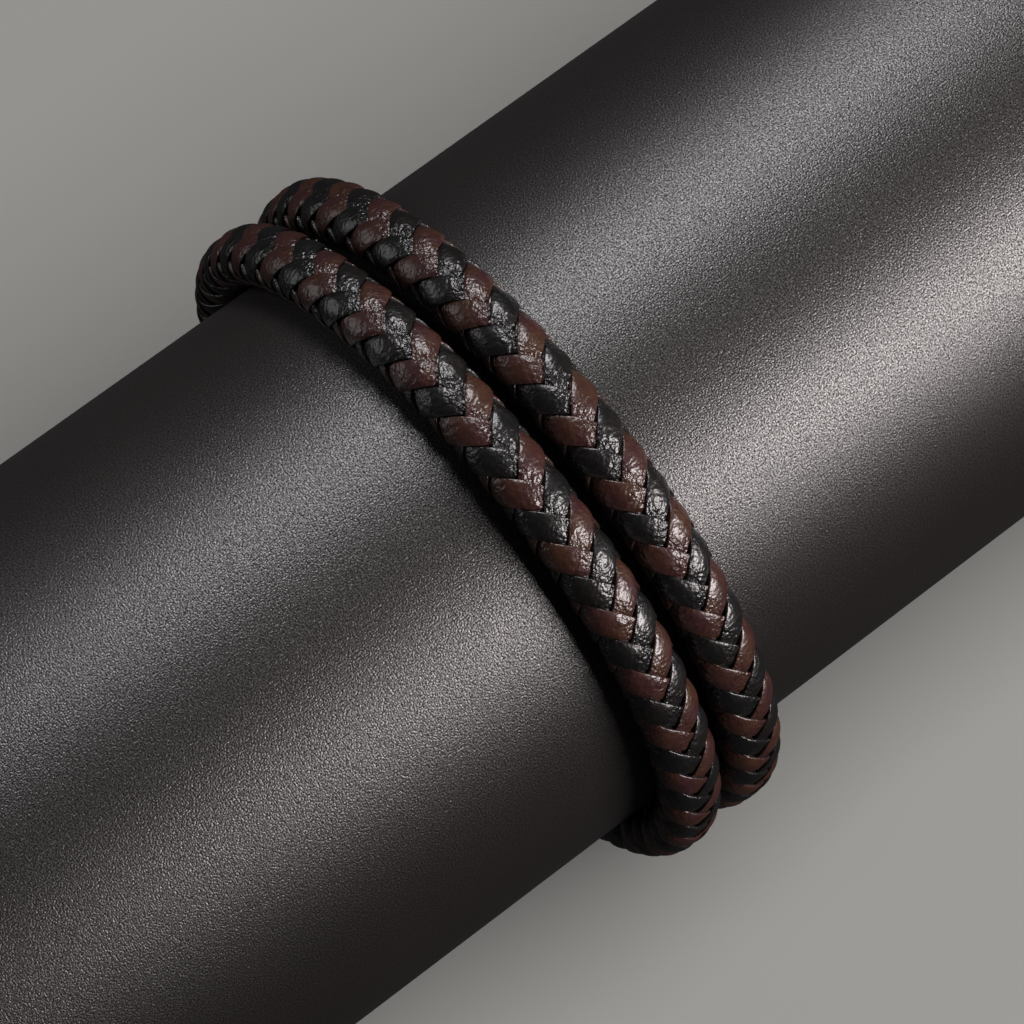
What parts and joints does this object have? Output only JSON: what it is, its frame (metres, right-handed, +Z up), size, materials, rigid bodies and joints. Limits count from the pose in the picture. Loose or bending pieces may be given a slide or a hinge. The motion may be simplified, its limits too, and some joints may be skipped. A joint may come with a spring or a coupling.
{
  "type": "leather bracelet on a display roll",
  "caption": "Bracelet of two braided leather cords lying side by side, closed by a flat-bottomed steel clasp, on a plain leatherette-covered display roll.",
  "frame": {"origin": "centre of the clasp's flat underside, which is the centre of the bounding box's bottom face", "axes": "+X along the roll's axis, +Z up, +Y towards the far side of the roll; the bracelet is turned 2 degrees about +Z on the roll"},
  "size_m": [0.18, 0.0834, 0.0836],
  "materials": {
    "brown_leather": "dark chestnut brown cowhide lace with a semi-gloss coated face",
    "black_leather": "near-black cowhide lace with a semi-gloss coated face",
    "steel": "satin-brushed stainless steel",
    "roll_cover": "satin black leatherette with a fine pebble grain"
  },
  "bodies": {
    "root": {"cord_left": "brown_leather", "cord_right": "black_leather", "clasp": "steel", "display_roll": "roll_cover"}
  },
  "joints": []
}
